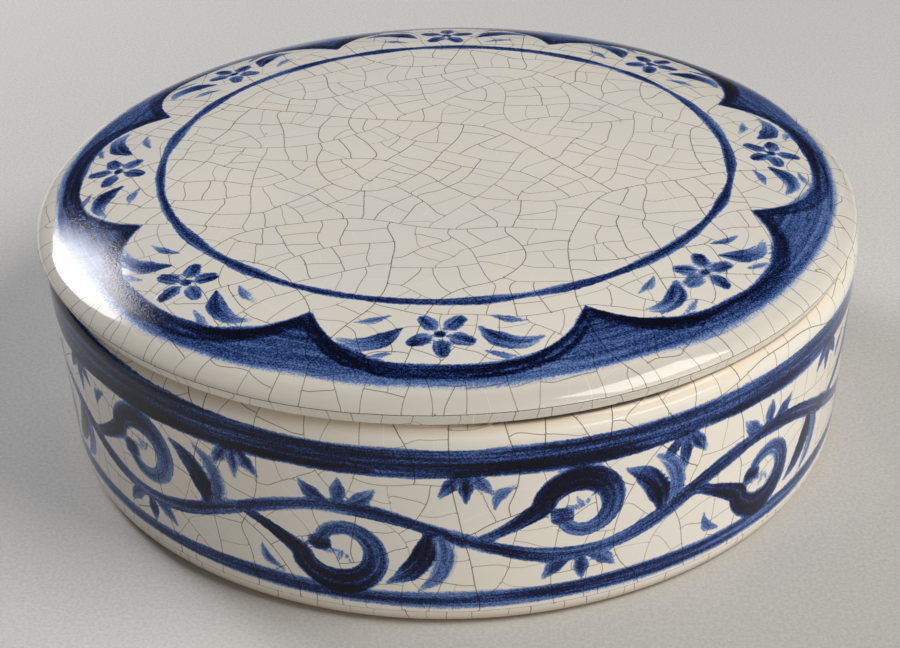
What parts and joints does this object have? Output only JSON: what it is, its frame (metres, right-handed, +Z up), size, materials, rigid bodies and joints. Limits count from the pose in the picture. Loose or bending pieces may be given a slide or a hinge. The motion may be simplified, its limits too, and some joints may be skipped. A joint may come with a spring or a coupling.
{
  "type": "round lidded box",
  "caption": "Round ceramic keepsake box: a low cup with a rounded rim and foot ring, closed by a gently crowned lift-off lid whose flange locates in the mouth.",
  "frame": {"origin": "on the table, at the middle of the foot ring's underside", "axes": "+Z up along the axis of revolution, through the middle of the lid; +X and +Y across the round plan"},
  "size_m": [0.15, 0.15, 0.05],
  "materials": {
    "base_glaze": "glossy cream crackle glaze over cobalt-blue brushwork",
    "lid_glaze": "glossy cream crackle glaze over cobalt-blue brushwork"
  },
  "bodies": {
    "base": {"box_base": "base_glaze"},
    "lid": {"lid": "lid_glaze"}
  },
  "joints": [
    {"name": "lid_lift", "type": "slide", "parent": "base", "child": "lid", "axis": [0, 0, 1], "range_m": [0, 0.06]}
  ]
}
